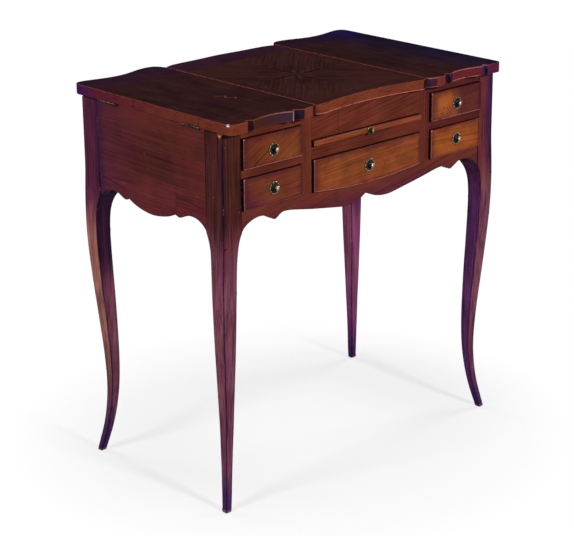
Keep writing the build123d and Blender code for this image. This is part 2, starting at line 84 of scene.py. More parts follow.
# ------------------------------------------------------- shader graph helper
class Graph:
    """Short hand for a node tree: sockets or numbers go in, sockets come out."""

    def __init__(self, name):
        self.mat = bpy.data.materials.new(name)
        self.mat.use_nodes = True
        self.nt = self.mat.node_tree
        self.nt.nodes.clear()
        self.out = self.nt.nodes.new("ShaderNodeOutputMaterial")

    def node(self, kind, ins=None, **props):
        n = self.nt.nodes.new(kind)
        for k, v in props.items():
            setattr(n, k, v)
        for k, v in (ins or {}).items():
            self.put(n.inputs[k], v)
        return n

    def put(self, sock, v):
        if isinstance(v, bpy.types.NodeSocket):
            self.nt.links.new(v, sock)
        elif v is not None:
            if sock.type == "RGBA" and len(v) == 3:
                v = (*v, 1.0)
            sock.default_value = v

    def math(self, op, a, b=0.0, c=0.0, clamp=False):
        n = self.nt.nodes.new("ShaderNodeMath")
        n.operation = op
        n.use_clamp = clamp
        for i, v in enumerate((a, b, c)):
            self.put(n.inputs[i], v)
        return n.outputs[0]

    def add(self, *vs):
        r = vs[0]
        for v in vs[1:]:
            r = self.math("ADD", r, v)
        return r

    def mul(self, *vs):
        r = vs[0]
        for v in vs[1:]:
            r = self.math("MULTIPLY", r, v)
        return r

    def sub(self, a, b):
        return self.math("SUBTRACT", a, b)

    def dist(self, a, b):
        return self.math("ABSOLUTE", self.sub(a, b))

    def low(self, *vs):
        r = vs[0]
        for v in vs[1:]:
            r = self.math("MINIMUM", r, v)
        return r

    def high(self, *vs):
        r = vs[0]
        for v in vs[1:]:
            r = self.math("MAXIMUM", r, v)
        return r

    def vmath(self, op, a, b=None, scale=None):
        n = self.nt.nodes.new("ShaderNodeVectorMath")
        n.operation = op
        self.put(n.inputs[0], a)
        if b is not None:
            self.put(n.inputs[1], b)
        if scale is not None:
            self.put(n.inputs["Scale"], scale)
        return n.outputs[0]

    def combine(self, x, y, z):
        return self.node("ShaderNodeCombineXYZ",
                         {"X": x, "Y": y, "Z": z}).outputs[0]

    def mapping(self, v, loc=(0, 0, 0), rot=(0, 0, 0), scale=(1, 1, 1)):
        n = self.node("ShaderNodeMapping", {"Vector": v})
        n.inputs["Location"].default_value = loc
        n.inputs["Rotation"].default_value = rot
        n.inputs["Scale"].default_value = scale
        return n.outputs[0]

    def noise(self, v, scale, detail=3.0, rough=0.5, dist=0.0):
        n = self.node("ShaderNodeTexNoise", {
            "Vector": v, "Scale": scale, "Detail": detail,
            "Roughness": rough, "Distortion": dist})
        return n.outputs["Fac"]

    def ramp(self, fac, stops, interp="LINEAR"):
        n = self.node("ShaderNodeValToRGB", {"Fac": fac})
        r = n.color_ramp
        r.interpolation = interp
        while len(r.elements) < len(stops):
            r.elements.new(0.5)
        for e, (p, c) in zip(r.elements, stops):
            e.position = p
            if isinstance(c, (int, float)):
                c = (c, c, c)
            e.color = (*c, 1.0)
        return n.outputs["Color"]

    def step(self, v, lo, hi):
        """0 below lo, 1 above hi, smooth between; lo may be above hi."""
        n = self.node("ShaderNodeMapRange", {
            "Value": v, "From Min": lo, "From Max": hi})
        n.interpolation_type = "SMOOTHSTEP"
        return n.outputs[0]

    def mix(self, fac, a, b, mode="MIX"):
        n = self.nt.nodes.new("ShaderNodeMix")
        n.data_type = "RGBA"
        n.blend_type = mode
        n.clamp_factor = True
        self.put(n.inputs[0], fac)
        self.put(n.inputs[6], a)
        self.put(n.inputs[7], b)
        return n.outputs[2]

    def scale(self, fac, col, k):
        """Colour times k where fac is 1."""
        if isinstance(k, (int, float)):
            k = (k, k, k)
        return self.mix(fac, col, k, "MULTIPLY")

    def split(self, v):
        n = self.node("ShaderNodeSeparateXYZ", {"Vector": v})
        return n.outputs[0], n.outputs[1], n.outputs[2]

    def bump(self, height, strength, distance, normal=None):
        n = self.node("ShaderNodeBump", {
            "Height": height, "Strength": strength, "Distance": distance})
        if normal is not None:
            self.put(n.inputs["Normal"], normal)
        return n.outputs[0]

    def finish(self, color, rough, normal=None, metallic=0.0, coat=0.0,
               coat_rough=0.2, spec=0.5, ior=1.5):
        p = self.nt.nodes.new("ShaderNodeBsdfPrincipled")
        self.put(p.inputs["Base Color"], color)
        self.put(p.inputs["Roughness"], rough)
        p.inputs["Metallic"].default_value = metallic
        p.inputs["IOR"].default_value = ior
        p.inputs["Specular IOR Level"].default_value = spec
        p.inputs["Coat Weight"].default_value = coat
        p.inputs["Coat Roughness"].default_value = coat_rough
        if normal is not None:
            self.put(p.inputs["Normal"], normal)
        self.nt.links.new(p.outputs[0], self.out.inputs[0])
        return self.mat


AXIS = {"X": 0, "Y": 1, "Z": 2}


def stretched(axis, along, across=1.0):
    s = [across] * 3
    s[AXIS[axis]] = along
    return tuple(s)


def wood(name, grain, base, seed=0, light=1.45, dark=0.45, warm=1.06,
         figure=0.30, fig_scale=8.0, fig_lines=95.0, streak=0.42,
         streak_scale=300.0, blotch=0.30, blotch_scale=6.0, pore=0.45,
         cloud=0.55, rough=0.40, coat=0.03, coat_rough=0.25, bump=0.25,
         worn=0.0, worn_col=None, specks=0.0, extra=None, spec=0.10,
         coords=None, hair=0.0, hair_scale=380.0, tilt=0.0, arris=None,
         arris_mask=None, wide=0.5, hue=0.50):
    """Polished timber, grain along an axis. base is its middle colour.

    extra(g, (x, y, z), colour, v) may repaint the colour afterwards.
    """
    g = Graph(name)
    rnd = random.Random(seed * 7919 + 13)
    tc = g.node("ShaderNodeTexCoord")
    g.normal = tc.outputs["Normal"]
    obj = tc.outputs["Object"]
    off = tuple(rnd.uniform(-3, 3) for _ in range(3))
    v = g.vmath("ADD", coords(g, obj) if coords else obj, off)
    if tilt:
        v = g.mapping(v, rot=(0.0, tilt, 0.0))
    # No line of the grain runs dead straight.
    wob = g.node("ShaderNodeTexNoise", {
        "Vector": g.mapping(v, scale=stretched(grain, 0.30)), "Scale": 9.0,
        "Detail": 2.0})
    wobv = g.vmath("SCALE", g.vmath("SUBTRACT", wob.outputs["Color"],
                                    (0.5, 0.5, 0.5)), scale=0.020)
    vw = g.vmath("ADD", v, wobv)
    # Figure: contour lines of a long slow noise, as a sawn board shows them.
    slow = g.noise(g.mapping(vw, scale=stretched(grain, 0.13)), fig_scale,
                   1.5, 0.4)
    lines = g.math("SINE", g.mul(slow, fig_lines))
    lines = g.add(g.mul(lines, 0.5), 0.5)
    fine = g.noise(g.mapping(vw, scale=stretched(grain, 0.030)),
                   streak_scale, 4.0, 0.62)
    broad = g.noise(g.mapping(vw, scale=stretched(grain, 0.08)), 42.0, 3.0,
                    0.5)
    blot = g.noise(v, blotch_scale, 3.0, 0.55)
    t = g.add(g.mul(g.sub(lines, 0.5), figure * 0.55),
              g.mul(g.sub(fine, 0.5), streak * 1.5),
              g.mul(g.sub(broad, 0.5), streak * wide),
              g.mul(g.sub(blot, 0.5), blotch * 2.0), 0.5)
    if hair:
        hr = g.noise(g.mapping(vw, scale=stretched(grain, 0.012)),
                     hair_scale, 2.0, 0.55)
        t = g.add(t, g.mul(g.sub(hr, 0.5), hair * 2.0))
    lo = times(base, (dark, dark * 0.92, dark * 0.95))
    hi = times(base, (light, light * warm, light * 0.96))
    col = g.ramp(t, [(0.12, lo), (0.50, base), (0.86, hi)])
    pores = g.noise(g.mapping(vw, scale=stretched(grain, 0.035)), 1250.0,
                    2.0, 0.5)
    pm = g.step(pores, 0.60, 0.69)
    col = g.mix(g.mul(pm, pore), col, times(lo, 0.40))
    # Old polish: darker and lighter clouds.
    cl = g.noise(v, 19.0, 4.0, 0.6)
    col = g.mix(cloud, col, g.ramp(cl, [(0.28, 0.62), (0.52, 1.0),
                                        (0.74, 1.22)]), "MULTIPLY")
    # The stain has aged redder here, yellower there.
    hn = g.noise(g.mapping(v, scale=stretched(grain, 0.40)), 40.0, 4.0, 0.62)
    col = g.mix(hue, col, g.ramp(hn, [(0.34, (1.16, 0.78, 1.15)),
                                      (0.50, 1.0),
                                      (0.66, (0.94, 1.22, 0.70))]),
                "MULTIPLY")
    xyz = g.split(obj)
    if extra:
        col = extra(g, xyz, col, v)
    if specks:
        sp = g.noise(v, 160.0, 1.0, 0.4)
        sm = g.mul(g.step(sp, 0.79, 0.80), specks)
        col = g.mix(sm, col, lin(206, 160, 130))
    if arris:
        col = g.scale(1.0, col, arris)
    if worn:
        wn = g.noise(v, 48.0, 4.0, 0.68)
        a = 0.66 - 0.36 * worn
        wm = g.step(wn, a, a + 0.12)
        if arris_mask:
            wm = g.mul(wm, arris_mask(g, xyz))
        col = g.mix(g.mul(wm, 0.9), col, worn_col or lin(178, 128, 96))
        rough = rough + 0.10
    rn = g.noise(v, 55.0, 3.0, 0.6)
    r = g.add(rough - 0.08, g.mul(rn, 0.16), g.mul(pm, 0.15))
    h = g.add(g.mul(fine, 0.6), g.mul(pm, -0.7), g.mul(g.noise(v, 26.0, 2.0),
                                                       1.3))
    nrm = g.bump(h, bump, 0.0004)
    return g.finish(col, r, nrm, coat=coat, coat_rough=coat_rough, spec=spec)


# ---------------------------------------------------------------- palettes
C_LEG = lin(104, 48, 46)
C_SIDE = lin(97, 43, 34)
C_FRONT = lin(106, 49, 31)
C_DRAWER = lin(147, 77, 47)
C_TOP = lin(40, 20, 21)
C_EDGE = lin(128, 66, 42)
C_INNER = lin(176, 138, 94)
PALE = lin(214, 168, 132)
ORANGE = lin(186, 104, 58)


def legs_paint(g, xyz, col, v):
    """Red-brown posts; legs cooler below, almost navy at the feet: painted
    violet bounce light.
    """
    x, y, z = xyz
    nx, ny, nz = g.split(g.normal)
    n = g.noise(v, 5.0, 2.0)
    # Lower legs lighter and bluer: painted violet bounce light.
    f = g.step(g.add(z, g.mul(g.sub(n, 0.5), 0.12)), 0.57, 0.44)
    col = g.scale(f, col, (1.40, 2.20, 3.5))
    # The posts turn purple towards the back and the right of the table: a
    # painted violet cast of light.
    up = g.step(z, 0.50, 0.58)
    col = g.scale(g.mul(g.step(y, -0.10, -0.16), g.step(x, 0.25, 0.20), up),
                  col, (0.53, 0.62, 0.50))
    col = g.scale(g.mul(g.step(y, 0.05, 0.18), up), col, (0.71, 0.57, 1.60))
    end = g.mul(g.step(nx, 0.88, 0.70), g.step(ny, 0.88, 0.70))
    col = g.scale(g.mul(g.step(x, 0.322, 0.350), up, end), col,
                  (0.66, 0.62, 1.9))
    col = g.mix(g.mul(g.step(x, 0.334, 0.352), up, end, 0.55), col,
                lin(30, 24, 66))
    # Navy where post and end board meet: painted shade.
    band = g.mul(g.step(g.dist(y, 0.1545), 0.012, 0.003), up)
    col = g.mix(g.mul(band, 0.6), col, lin(40, 18, 52))
    # The outer faces of the legs are painted lighter, most of all at the back:
    # painted light.
    f = g.mul(g.step(g.math("ABSOLUTE", nx), 0.70, 0.88),
              g.step(z, 0.54, 0.42), g.step(z, 0.05, 0.30))
    col = g.scale(g.mul(f, g.step(x, 0.1, 0.0)), col, (1.60, 1.60, 1.30))
    col = g.scale(g.mul(f, g.step(y, 0.06, 0.14)), col, (1.50, 2.0, 1.0))
    # The legs on the right, shaded by the table, are painted lighter and more
    # violet: painted bounce light.
    low = g.mul(g.step(x, 0.0, 0.1), g.step(z, 0.58, 0.50))
    col = g.scale(g.mul(low, g.step(y, 0.0, 0.1)), col, (1.38, 1.08, 1.65))
    col = g.scale(g.mul(low, g.step(y, 0.0, 0.1), g.step(nx, -0.4, -0.7)),
                  col, (1.60, 1.35, 1.50))
    col = g.scale(g.mul(low, g.step(y, 0.1, 0.0), g.step(nx, -0.4, -0.7)),
                  col, (1.55, 1.40, 2.3))
    # Dark navy arris of the front posts.
    d = g.low(g.sub(y, -0.2059), g.sub(g.math("ABSOLUTE", x), 0.100))
    e = g.add(g.sub(0.3577, g.math("ABSOLUTE", x)), g.sub(y, -0.2059))
    f = g.mul(g.step(g.add(e, g.mul(g.sub(n, 0.5), 0.004)), 0.0075, 0.0035),
              g.step(z, 0.725, 0.700), up, g.step(d, -0.01, 0.0))
    col = g.mix(g.mul(f, 0.62), col, lin(22, 14, 34))
    # Almost navy at the feet: a painted violet cast of bounced light.
    f2 = g.step(g.add(z, g.mul(g.sub(n, 0.5), 0.05)), 0.125, 0.015)
    col = g.mix(g.mul(f2, 0.8), col, lin(52, 32, 88))
    rub = g.noise(v, 160.0, 2.0)
    f3 = g.mul(g.step(g.add(z, g.mul(g.sub(rub, 0.5), 0.012)), 0.0062,
                      0.0034), 0.7)
    col = g.mix(f3, col, lin(150, 112, 84))
    # Chip in the corner of the front left post.
    c = g.mul(g.step(g.add(g.dist(y, -0.1990),
                           g.mul(g.sub(0.7300, z), 0.9)), 0.0085, 0.0065),
              g.step(x, -0.350, -0.354), g.step(z, 0.7185, 0.7205))
    return g.mix(g.mul(c, 0.9), col, lin(226, 150, 60))


def front_paint(node, grime=0.55, width=0.009, line=True):
    """Darker towards the edges; the thickness is painted almost black, a painted
    shade.
    """
    lo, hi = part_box(node)

    def paint(g, xyz, col, v):
        x, y, z = xyz
        bare = g.scale(1.0, col, (0.60, 0.60, 0.75))
        n = g.noise(v, 45.0, 3.0)
        wig = g.mul(g.sub(n, 0.5), width * 1.1)
        top = g.step(g.add(g.sub(hi[2], z), wig), width, 0.0015)
        right = g.step(g.add(g.sub(hi[0], x), wig), width * 1.2, 0.0015)
        low = g.step(g.add(g.sub(z, lo[2]), wig), width * 0.6, 0.001)
        left = g.step(g.add(g.sub(x, lo[0]), wig), width * 1.6, 0.001)
        f = g.high(g.mul(top, 0.8), right, g.mul(low, 0.7), left)
        col = g.mix(g.mul(f, grime), col, lin(74, 28, 36))
        if line:
            # Fine dark line inside the right edge.
            e = g.mul(g.step(g.dist(x, hi[0] - 0.0052), 0.0011, 0.0004),
                      g.step(n, 0.36, 0.46))
            col = g.mix(g.mul(e, 0.6), col, lin(30, 12, 14))
        # Painted shade: the thickness behind the face is almost black.
        back = g.step(y, FACE + 0.0009, FACE + 0.0018)
        col = g.mix(g.mul(back, 0.95), col, lin(22, 18, 30))
        # What slides inside the carcass is plain wood.
        return g.mix(g.step(y, FACADE + 0.0005, FACADE + 0.0030), col, bare)
    return paint


def front_mask(node):
    """Pale bare wood only along the lower and the left arris: partly worn wood,
    partly a painted highlight.
    """
    lo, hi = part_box(node)

    def mask(g, xyz):
        x, y, z = xyz
        low = g.mul(g.step(g.sub(z, lo[2]), 0.0120, 0.0100),
                    g.step(g.sub(x, lo[0]), 0.0011, 0.0018),
                    g.step(g.sub(hi[0], x), 0.0011, 0.0018))
        left = g.mul(g.step(g.sub(x, lo[0]), 0.0030, 0.0020), 0.34)
        left = g.add(left, g.mul(g.step(g.sub(x, lo[0]), 0.0060, 0.0010),
                                 g.step(g.sub(hi[2], z), 0.0060, 0.0010),
                                 0.6))
        face = g.step(y, FACE + 0.0020, FACE + 0.0014)
        return g.mul(g.math("MINIMUM", g.high(low, left), 1.0), face)
    return mask


def assign(node, mat, arris=None, width=0.0006, segments=2, angle=30.0):
    """Gives a CAD node its finish and breaks its arrises."""
    ob = NODES[node]
    ob.data.materials.clear()
    ob.data.materials.append(mat)
    ob.data.materials.append(arris or mat)
    w = ob.modifiers.new("weld", "WELD")
    w.merge_threshold = 0.000004
    if node.endswith("_front"):
        # One face per plane, so the broken arris leaves no slivers in it.
        d = ob.modifiers.new("planes", "DECIMATE")
        d.decimate_type = "DISSOLVE"
        d.angle_limit = math.radians(0.3)
    if width:
        b = ob.modifiers.new("arris", "BEVEL")
        b.width = width
        b.segments = segments
        b.limit_method = "ANGLE"
        b.angle_limit = math.radians(angle)
        b.use_clamp_overlap = False
        b.material = 1
        b.miter_outer = "MITER_SHARP"
    n = ob.modifiers.new("normals", "WEIGHTED_NORMAL")
    n.keep_sharp = True
    n.weight = 60


seed = 0


def timber(nodes, grain, base, width=0.0006, worn=0.35, worn_col=None,
           arris=None, arris_mask=None, angle=30.0, **kw):
    """One timber on one or more nodes, with its own worn arrises."""
    global seed
    seed += 1
    if isinstance(nodes, str):
        nodes = (nodes,)
    m = wood(nodes[0] + "_wood", grain, base, seed=seed, **kw)
    w = wood(nodes[0] + "_arris", grain, base, seed=seed, worn=worn,
             worn_col=worn_col, arris=arris, arris_mask=arris_mask, **kw)
    for n in nodes:
        assign(n, m, w, width, angle=angle)
    return m


# ----------------------------------------------------------------- carcass
timber(("leg_front_left", "leg_front_right", "leg_back_left",
        "leg_back_right"), "Z", C_LEG, width=0.0020, worn=0.16,
       worn_col=lin(176, 112, 96), arris=(0.32, 0.24, 0.50),
       extra=legs_paint, figure=0.35, fig_scale=16.0, fig_lines=70.0,
       streak=0.62, hair=0.85, blotch=0.2, specks=0.25, rough=0.38,
       wide=0.8, spec=0.09, angle=70.0)


def side_paint(g, xyz, col, v):
    """Dark cloud in the middle of the end board; purple towards the back, a
    painted violet cast of light.
    """
    x, y, z = xyz
    n = g.noise(v, 11.0, 3.0)
    dy = g.math("DIVIDE", g.sub(y, YS + 0.01), 0.11)
    dz = g.math("DIVIDE", g.sub(z, 0.655), 0.055)
    r = g.math("SQRT", g.add(g.mul(dy, dy), g.mul(dz, dz)))
    f = g.step(g.add(r, g.mul(g.sub(n, 0.5), 1.6)), 1.2, 0.3)
    col = g.scale(g.mul(f, 0.55), col, 0.62)
    f = g.step(g.add(z, g.mul(g.sub(n, 0.5), 0.06)), 0.63, 0.56)
    col = g.scale(f, col, (1.26, 1.10, 1.50))
    # Purple towards the back, navy at its back edge: a painted violet cast of
    # light.
    f = g.step(g.add(y, g.mul(g.sub(n, 0.5), 0.06)), 0.02, 0.14)
    col = g.scale(g.mul(f, 0.9), col, (0.84, 0.76, 1.75))
    band = g.step(g.add(y, g.mul(g.sub(n, 0.5), 0.012)), 0.128, 0.146)
    col = g.mix(g.mul(band, 0.55), col, lin(46, 22, 62))
    # Open glue lines round the corner blocks.
    for y0, z0, y1, z1 in ((-0.149, 0.5820, -0.072, 0.5910),
                           (0.079, 0.5740, 0.155, 0.5860)):
        line = g.add(z0, g.mul(g.sub(y, y0 + YS), (z1 - z0) / (y1 - y0)))
        f = g.mul(g.step(g.dist(z, line), 0.0011, 0.0004),
                  g.step(y, y0 + YS - 0.001, y0 + YS + 0.001),
                  g.step(y, y1 + YS + 0.001, y1 + YS - 0.001))
        col = g.mix(g.mul(f, 0.8), col, lin(26, 10, 16))
    return col


timber(("side_panel_left", "side_panel_right"), "Y", C_SIDE, width=0.0004,
       worn=0.2, extra=side_paint, figure=0.10, streak=0.34,
       streak_scale=230.0, blotch=0.20, specks=0.35, pore=0.5, cloud=0.6,
       hair=0.50, hair_scale=300.0)
timber("side_brackets", "Y", C_SIDE, width=0.0006, worn=0.1, specks=0.25,
       arris=(0.3, 0.25, 0.35), extra=side_paint, figure=0.15, hair=0.4,
       hair_scale=300.0)
timber("back_panel", "X", times(C_SIDE, 0.92), width=0.0005, worn=0.2,
       figure=0.3, rough=0.55, coat=0.0, hair=0.3)


def apron_paint(g, xyz, col, v):
    # Purple towards the lower edge: a painted violet cast of light.
    n = g.noise(v, 9.0, 2.0)
    f = g.step(g.add(xyz[2], g.mul(g.sub(n, 0.5), 0.02)), 0.578, 0.540)
    return g.scale(f, col, (0.72, 0.62, 1.55))


def frieze_paint(g, xyz, col, v):
    """The veneer of the frieze is pieced left of the middle."""
    f = g.step(g.dist(xyz[0], -0.0745), 0.0007, 0.0003)
    col = g.mix(g.mul(f, 0.75), col, lin(40, 18, 14))
    return g.scale(g.step(xyz[0], -0.0742, -0.0748), col, 0.90)


timber("front_apron", "X", times(C_FRONT, (1.06, 1.09, 1.36)), width=0.0007,
       worn=0.25, worn_col=lin(120, 60, 76), extra=apron_paint, figure=0.3,
       hair=0.3, tilt=0.2)
timber("divider_stile_left", "Z", C_FRONT, width=0.0003, worn=0.1,
       figure=0.2, hair=0.4)
seed -= 1                           # from the same board as the left one
timber("divider_stile_right", "Z", times(C_FRONT, (0.88, 0.82, 1.12)),
       width=0.0003, worn=0.1, figure=0.2, hair=0.4)
timber("frieze_board", "X", C_FRONT, width=0.0004, worn=0.1,
       extra=frieze_paint, figure=0.12, hair=0.55, streak=0.5, tilt=0.22,
       blotch_scale=14.0, wide=0.25)
timber("centre_rail", "X", C_FRONT, width=0.0004, worn=0.15, hair=0.4)
timber("well_front_left", "X", C_FRONT, width=0.0004, worn=0.1, figure=0.2,
       hair=0.4)
seed -= 1                           # from the same board as the left one
timber("well_front_right", "X", times(C_FRONT, (0.80, 0.70, 1.20)),
       width=0.0004, worn=0.1, figure=0.2, hair=0.4)

# ----------------------------------------------------------- drawer fronts
FRONT_KW = dict(rough=0.33, coat=0.03, spec=0.12, hair=0.42, hue=0.60,
                worn_col=lin(222, 146, 124))


def ur_paint(g, xyz, col, v):
    """A faded orange patch and ink specks left of the knob."""
    n = g.noise(v, 22.0, 4.0, 0.6)
    dx = g.math("DIVIDE", g.sub(xyz[0], 0.200), 0.036)
    dz = g.math("DIVIDE", g.sub(xyz[2], 0.689), 0.028)
    r = g.math("SQRT", g.add(g.mul(dx, dx), g.mul(dz, dz)))
    f = g.step(g.add(r, g.mul(g.sub(n, 0.5), 2.8)), 1.35, 0.15)
    col = g.mix(g.mul(f, 0.60), col, lin(188, 108, 40))
    f = g.step(xyz[0], 0.236, 0.262)
    col = g.scale(f, col, (0.60, 0.50, 1.0))
    sp = g.noise(v, 330.0, 1.0, 0.4)
    dx = g.math("DIVIDE", g.sub(xyz[0], 0.2085), 0.024)
    dz = g.math("DIVIDE", g.sub(xyz[2], 0.6735), 0.011)
    r = g.math("SQRT", g.add(g.mul(dx, dx), g.mul(dz, dz)))
    f = g.mul(g.step(sp, 0.60, 0.66), g.step(r, 1.2, 0.6), 0.85)
    return g.mix(f, col, lin(52, 22, 14))


def ul_paint(g, xyz, col, v):
    f = g.step(xyz[0], -0.245, -0.300)
    return g.scale(f, col, (0.72, 0.66, 0.78))


def ll_paint(g, xyz, col, v):
    """Turns purple to its lower left corner: a painted violet cast of light."""
    n = g.noise(v, 18.0, 2.0)
    d = g.add(g.mul(g.sub(xyz[0], -0.3142), 0.5), g.sub(xyz[2], 0.5833),
              g.mul(g.sub(n, 0.5), 0.03))
    col = g.scale(g.step(xyz[0], -0.245, -0.300), col, (0.78, 0.76, 0.95))
    f = g.step(d, 0.052, 0.014)
    return g.scale(f, col, (0.80, 0.74, 1.9))


def both(a, b):
    def paint(g, xyz, col, v):
        return b(g, xyz, a(g, xyz, col, v), v)
    return paint


for n, k, fx, tilt in (
        ("false_front_left", (0.72, 0.76, 0.48), ul_paint, 0.55),
        ("false_front_right", (0.66, 0.66, 0.62), ur_paint, 0.10),
        ("drawer_left_front", (0.62, 0.58, 0.56), ll_paint, 0.06),
        ("drawer_right_front", (1.12, 1.14, 0.50), None, -0.05),
        ("drawer_centre_front", (0.87, 0.90, 0.54), None, 0.08)):
    paint = front_paint(n, 0.66, 0.013)
    if fx:
        paint = both(fx, paint)
    seed += 3
    timber(n, "X", times(C_DRAWER, k), width=0.0012, worn=0.95,
           arris=(0.6, 0.5, 0.6), arris_mask=front_mask(n),
           extra=paint, figure=0.10, fig_scale=9.0, fig_lines=60.0,
           streak=0.50, blotch=0.38, blotch_scale=24.0, tilt=tilt,
           wide=0.25, **FRONT_KW)
timber("brushing_slide", "X", times(C_DRAWER, (0.88, 0.86, 0.64)),
       width=0.0009, worn=0.95, arris_mask=front_mask("brushing_slide"),
       extra=front_paint("brushing_slide", 0.25, 0.003, line=False),
       **FRONT_KW)

# --------------------------------------------------------------------- top
STAR = (-0.006, -0.018 + YS)
JOINT_X = 0.1475


def top_shade(g, xyz, col, v, along_x=False):
    """Dark face, lighter worn edge with painted shade and highlights, dry pale
    underside.
    """
    x, y, z = xyz
    edge = g.step(z, ZTOP - 0.0008, ZTOP - 0.0014)
    n = g.noise(v, 26.0, 3.0)
    lay = g.noise(g.mapping(v, scale=(0.10, 0.10, 1.0)), 420.0, 3.0, 0.6)
    ecol = g.mix(g.mul(n, 0.8), times(C_EDGE, 1.10),
                 times(C_EDGE, (0.62, 0.50, 0.60)))
    ecol = g.scale(g.mul(g.step(lay, 0.48, 0.66), 0.75), ecol, 0.55)
    front = g.step(y, -0.200, -0.212)
    # Left and right ends: red going to purple at the back, a painted violet cast
    # of light.
    side = g.sub(1.0, front)
    f = g.mul(side, g.step(y, -0.17, 0.17))
    ecol = g.scale(f, ecol, (0.62, 0.42, 1.55))
    f = g.mul(side, g.step(y, 0.150, 0.225))
    ecol = g.mix(g.mul(f, 0.8), ecol, lin(52, 30, 96))
    # The back edge never saw polish and went dark.
    nx, ny, nz = g.split(g.normal)
    ecol = g.mix(g.mul(g.step(ny, 0.60, 0.85), 0.88), ecol, lin(50, 28, 32))
    # The edge is lipped in lengths; their joints show as fine dark lines.
    f = g.high(g.step(g.dist(y, 0.0396), 0.0008, 0.0003),
               g.step(g.dist(y, -0.1439), 0.0008, 0.0003))
    ecol = g.mix(g.mul(f, side, 0.75), ecol, lin(30, 12, 14))
    # The right end of the front turns magenta, then violet: a painted violet
    # cast of light.
    f = g.mul(front, g.step(x, 0.165, 0.230))
    ecol = g.scale(f, ecol, (0.70, 0.46, 1.35))
    f = g.mul(front, g.step(x, 0.305, 0.335))
    ecol = g.scale(f, ecol, (0.80, 0.70, 1.7))
    # Hollows and left-facing runs of the front painted dark, a painted shade and
    # reflection; the noses between keep the rubbed edge colour.
    wig = g.mul(g.sub(n, 0.5), 0.006)
    bow_reflection = g.mix(g.add(g.step(x, -0.285, -0.205), g.mul(g.sub(n, 0.5), 0.8)),
                lin(60, 34, 30), lin(46, 40, 60))
    for a, b, k, c in ((-0.317, -0.300, 0.92, lin(22, 18, 28)),
                       (-0.300, -0.206, 0.88, bow_reflection),
                       (-0.206, -0.183, 0.92, lin(22, 24, 44)),
                       (-0.158, -0.1465, 0.94, lin(16, 20, 34)),
                       (0.134, 0.149, 0.94, lin(20, 18, 30)),
                       (0.149, 0.170, 0.80, lin(40, 26, 52)),
                       (0.198, 0.218, 0.90, lin(30, 16, 50)),
                       (0.303, 0.317, 0.85, lin(44, 44, 92))):
        f = g.mul(front, g.step(g.dist(g.add(x, wig), (a + b) / 2),
                                (b - a) / 2 + 0.0012, (b - a) / 2 - 0.0012))
        ecol = g.mix(g.mul(f, k), ecol, c)
    # Pale lines along the lower arris of flap and bows: partly rubbed wood,
    # partly a painted highlight.
    f = g.mul(front, g.step(z, 0.7332, 0.7320),
              g.high(g.step(g.dist(x, -0.006), 0.141, 0.138),
                     g.step(g.dist(x, 0.2605), 0.044, 0.041),
                     g.step(g.dist(x, 0.1530), 0.018, 0.016)),
              g.step(g.noise(v, 70.0, 3.0), 0.34, 0.50))
    ecol = g.mix(g.mul(f, 0.66), ecol, lin(206, 136, 108))
    # Pale outline of the dark bows, up to their right hand corner: a painted
    # highlight.
    f = g.mul(g.step(z, 0.7474, 0.7484),
              g.high(g.mul(g.step(x, -0.298, -0.215),
                           g.step(x, -0.2060, -0.2070)),
                     g.step(g.dist(x, 0.1600), 0.011, 0.009),
                     g.step(g.dist(x, 0.2605), 0.044, 0.040),
                     g.step(g.dist(x, 0.3100), 0.008, 0.006)))
    f = g.high(f, g.step(g.dist(x, -0.2072), 0.0013, 0.0006))
    ecol = g.mix(g.mul(f, front, 0.62), ecol, lin(178, 146, 138))
    col = g.mix(edge, col, ecol)
    # Underneath the ground wood is unpolished, its grain straight.
    f = g.step(z, 0.7308, 0.7306)
    if along_x:
        w = g.combine(g.mul(x, 0.05), y, z)
    else:
        w = g.combine(x, g.mul(y, 0.05), z)
    a = g.noise(w, 420.0, 4.0, 0.65)
    b = g.noise(w, 70.0, 2.0, 0.5)
    k = g.add(g.mul(g.step(a, 0.38, 0.64), 0.6), g.mul(b, 0.4))
    return g.mix(f, col, g.mix(k, lin(66, 38, 28), lin(112, 70, 48)))


def top_mask(sign=0):
    """Where the arrises of the top are rubbed to bare wood, partly a painted
    highlight.
    """
    def mask(g, xyz):
        x, y, z = xyz
        upper = g.step(z, 0.7450, 0.7470)
        ax = g.math("ABSOLUTE", x)
        joint = g.step(g.dist(ax, JOINT_X), 0.0030, 0.0020)
        end = g.mul(g.step(ax, 0.3545, 0.3560), 0.85)
        front = g.step(y, -0.205, -0.210)
        back = g.mul(g.step(y, 0.195, 0.205), 0.15)
        lower = g.mul(g.step(z, 0.7330, 0.7320), front, 0.9)
        return g.high(g.mul(upper, g.high(joint, end, front, back)), lower)
    return mask


def violet_sheen(g, xyz, col, v, y0=0.150):
    # Purple towards the back: a painted violet sheen of grazing light.
    n = g.noise(v, 8.0, 2.0)
    f = g.step(g.add(xyz[1], g.mul(g.sub(n, 0.5), 0.03)), y0 - 0.03,
               y0 + 0.03)
    return g.scale(g.mul(f, 0.8), col, (0.85, 0.75, 2.3))


